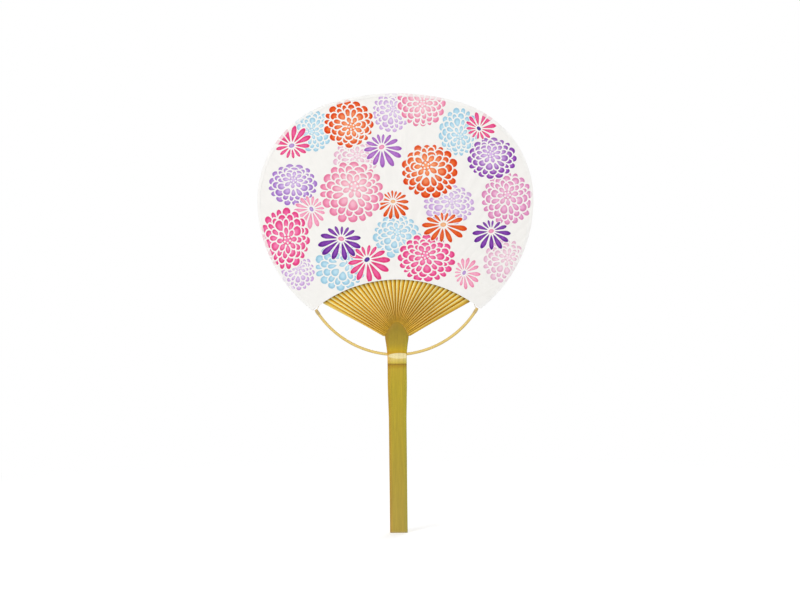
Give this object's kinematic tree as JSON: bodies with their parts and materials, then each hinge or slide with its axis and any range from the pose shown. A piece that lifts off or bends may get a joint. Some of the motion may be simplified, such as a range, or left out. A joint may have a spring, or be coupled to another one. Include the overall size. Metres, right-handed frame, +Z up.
{
  "type": "round paper hand fan",
  "caption": "Rigid round hand fan: a bamboo strip handle split into radiating ribs under two sheets of flower-printed paper, held open by a thin bamboo bow.",
  "frame": {"origin": "middle of the flat butt face of the handle", "axes": "+Z up the handle towards the head, +X to the viewer's right when the printed front is seen, the printed front faces -Y"},
  "size_m": [0.2264, 0.0044, 0.3602],
  "materials": {
    "bamboo_skin": "yellow-green split bamboo, skin side out, semi-gloss",
    "bamboo_rib": "dyed split bamboo, cut faces, satin",
    "bamboo_rod": "pale turned bamboo rod, satin",
    "cotton_thread": "twisted undyed cotton",
    "printed_paper": "matt white paper with a chrysanthemum print in pinks, purples, light blue and red-orange",
    "plain_paper": "matt white paper",
    "edging_paper": "thin white paper strip"
  },
  "bodies": {
    "root": {"handle": "bamboo_skin", "bow": "bamboo_rod", "binding_thread": "cotton_thread", "front_paper": "printed_paper", "back_paper": "plain_paper", "edging_strip": "edging_paper", "rib_01": "bamboo_rib", "rib_02": "bamboo_rib", "rib_03": "bamboo_rib", "rib_04": "bamboo_rib", "rib_05": "bamboo_rib", "rib_06": "bamboo_rib", "rib_07": "bamboo_rib", "rib_08": "bamboo_rib", "rib_09": "bamboo_rib", "rib_10": "bamboo_rib", "rib_11": "bamboo_rib", "rib_12": "bamboo_rib", "rib_13": "bamboo_rib", "rib_14": "bamboo_rib", "rib_15": "bamboo_rib", "rib_16": "bamboo_rib", "rib_17": "bamboo_rib", "rib_18": "bamboo_rib", "rib_19": "bamboo_rib", "rib_20": "bamboo_rib", "rib_21": "bamboo_rib", "rib_22": "bamboo_rib", "rib_23": "bamboo_rib", "rib_24": "bamboo_rib", "rib_25": "bamboo_rib", "rib_26": "bamboo_rib", "rib_27": "bamboo_rib", "rib_28": "bamboo_rib", "rib_29": "bamboo_rib", "rib_30": "bamboo_rib", "rib_31": "bamboo_rib", "rib_32": "bamboo_rib", "rib_33": "bamboo_rib", "rib_34": "bamboo_rib"}
  },
  "joints": []
}
